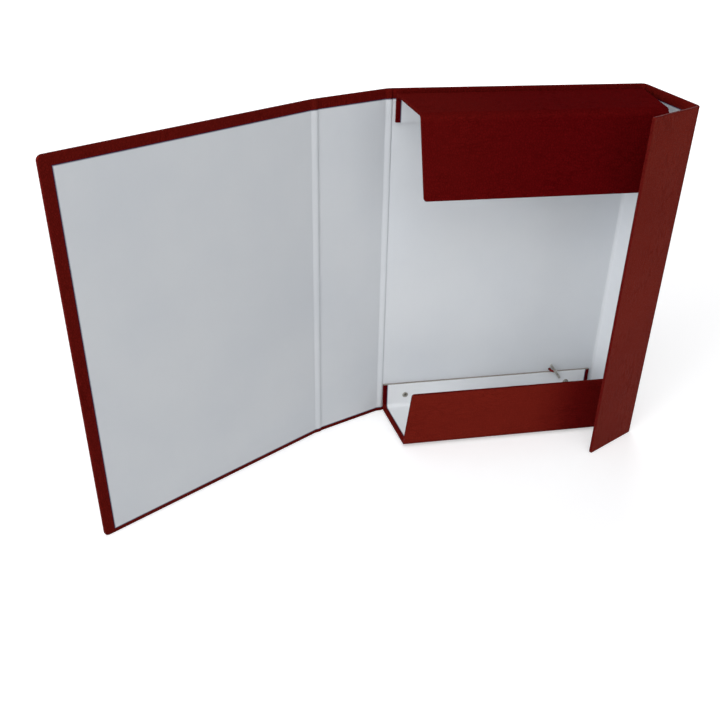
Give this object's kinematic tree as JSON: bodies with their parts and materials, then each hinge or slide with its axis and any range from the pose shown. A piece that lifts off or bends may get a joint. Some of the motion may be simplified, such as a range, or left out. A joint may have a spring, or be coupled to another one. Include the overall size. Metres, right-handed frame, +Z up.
{
  "type": "box file",
  "caption": "Folding box file of covered board, standing open: wraparound cover with a closing flap, U-shaped end flaps inside and an elastic cord.",
  "frame": {"origin": "middle of the back panel's bottom edge, halfway through its thickness, on the plane that the box stands on", "axes": "+X across the back panel from the spine to the fore edge, +Y from the box's inside to its back, +Z up"},
  "size_m": [0.5419, 0.1656, 0.35],
  "materials": {
    "red_leatherette": "dark red embossed covering paper, satin",
    "white_lining": "white lining paper, matt",
    "greyboard": "raw grey board",
    "nickel": "nickel plated, bright",
    "red_elastic": "braided cover over rubber"
  },
  "bodies": {
    "back": {"back_board": "greyboard", "back_covering": "red_leatherette", "back_lining": "white_lining", "top_leg_board": "greyboard", "top_leg_covering": "red_leatherette", "top_leg_lining": "white_lining", "bottom_leg_board": "greyboard", "bottom_leg_covering": "red_leatherette", "bottom_leg_lining": "white_lining", "upper_rivet_posts": "nickel", "upper_rivet_caps": "nickel", "lower_rivet_posts": "nickel", "lower_rivet_caps": "nickel", "elastic_cord": "red_elastic", "spine_back_fold": "red_leatherette", "back_side_fold": "red_leatherette", "top_leg_wall_fold": "red_leatherette", "bottom_leg_wall_fold": "red_leatherette"},
    "spine": {"spine_board": "greyboard", "spine_covering": "red_leatherette", "spine_lining": "white_lining", "cover_spine_fold": "red_leatherette"},
    "front_cover": {"front_cover_board": "greyboard", "front_cover_covering": "red_leatherette", "front_cover_lining": "white_lining"},
    "side_wall": {"side_wall_board": "greyboard", "side_wall_covering": "red_leatherette", "side_wall_lining": "white_lining", "side_flap_fold": "red_leatherette"},
    "closing_flap": {"closing_flap_board": "greyboard", "closing_flap_covering": "red_leatherette", "closing_flap_lining": "white_lining"},
    "top_wall": {"top_wall_board": "greyboard", "top_wall_covering": "red_leatherette", "top_wall_lining": "white_lining", "top_wall_lip_fold": "red_leatherette"},
    "top_lip": {"top_lip_board": "greyboard", "top_lip_covering": "red_leatherette", "top_lip_lining": "white_lining"},
    "bottom_wall": {"bottom_wall_board": "greyboard", "bottom_wall_covering": "red_leatherette", "bottom_wall_lining": "white_lining", "bottom_wall_lip_fold": "red_leatherette"},
    "bottom_lip": {"bottom_lip_board": "greyboard", "bottom_lip_covering": "red_leatherette", "bottom_lip_lining": "white_lining"},
    "upper_t_bar": {"upper_cord_end": "red_elastic", "upper_t_bar": "nickel"},
    "lower_t_bar": {"lower_cord_end": "red_elastic", "lower_t_bar": "nickel"}
  },
  "joints": [
    {"name": "spine_fold", "type": "hinge", "parent": "back", "child": "spine", "pos_m": [-0.12391, 0.00041, 0], "axis": [0, 0, -1], "range_deg": [-67, 23], "deforming": ["spine_back_fold"]},
    {"name": "cover_fold", "type": "hinge", "parent": "spine", "child": "front_cover", "pos_m": [-0.19554, -0.03, 0], "axis": [0, 0, -1], "range_deg": [-81, 9], "deforming": ["cover_spine_fold"]},
    {"name": "fore_edge_fold", "type": "hinge", "parent": "back", "child": "side_wall", "pos_m": [0.12391, 0.00041, 0], "axis": [0, 0, 1], "range_deg": [-10, 80], "deforming": ["back_side_fold"]},
    {"name": "flap_fold", "type": "hinge", "parent": "side_wall", "child": "closing_flap", "pos_m": [0.13803, -0.07967, 0], "axis": [0, 0, 1], "range_deg": [-18, 72], "deforming": ["side_flap_fold"]},
    {"name": "top_flap_lift", "type": "hinge", "parent": "back", "child": "top_wall", "pos_m": [-0.125, -0.00297, 0.34563], "axis": [-1, 0, 0], "range_deg": [0, 80], "deforming": ["top_leg_wall_fold"]},
    {"name": "top_lip_hang", "type": "hinge", "parent": "top_wall", "child": "top_lip", "pos_m": [-0.125, -0.07172, 0.34382], "axis": [-1, 0, 0], "range_deg": [-80, 0], "deforming": ["top_wall_lip_fold"]},
    {"name": "bottom_flap_fold", "type": "hinge", "parent": "back", "child": "bottom_wall", "pos_m": [-0.125, -0.00478, 0.00618], "axis": [-1, 0, 0], "range_deg": [0, 75], "deforming": ["bottom_leg_wall_fold"]},
    {"name": "bottom_lip_fold", "type": "hinge", "parent": "bottom_wall", "child": "bottom_lip", "pos_m": [-0.125, -0.07353, 0.00437], "axis": [-1, 0, 0], "range_deg": [-75, 0], "deforming": ["bottom_wall_lip_fold"]},
    {"name": "upper_t_bar_swivel", "type": "hinge", "parent": "back", "child": "upper_t_bar", "pos_m": [0.0705, -0.0047, 0.3175], "axis": [0, -1, 0], "range_deg": [-40, 40]},
    {"name": "lower_t_bar_swivel", "type": "hinge", "parent": "back", "child": "lower_t_bar", "pos_m": [0.0705, -0.0047, 0.0365], "axis": [0, 1, 0], "range_deg": [-40, 40]}
  ],
  "couplings": [
    {"joint": "top_lip_hang", "follows": "top_flap_lift", "ratio": -1},
    {"joint": "bottom_lip_fold", "follows": "bottom_flap_fold", "ratio": -1}
  ]
}
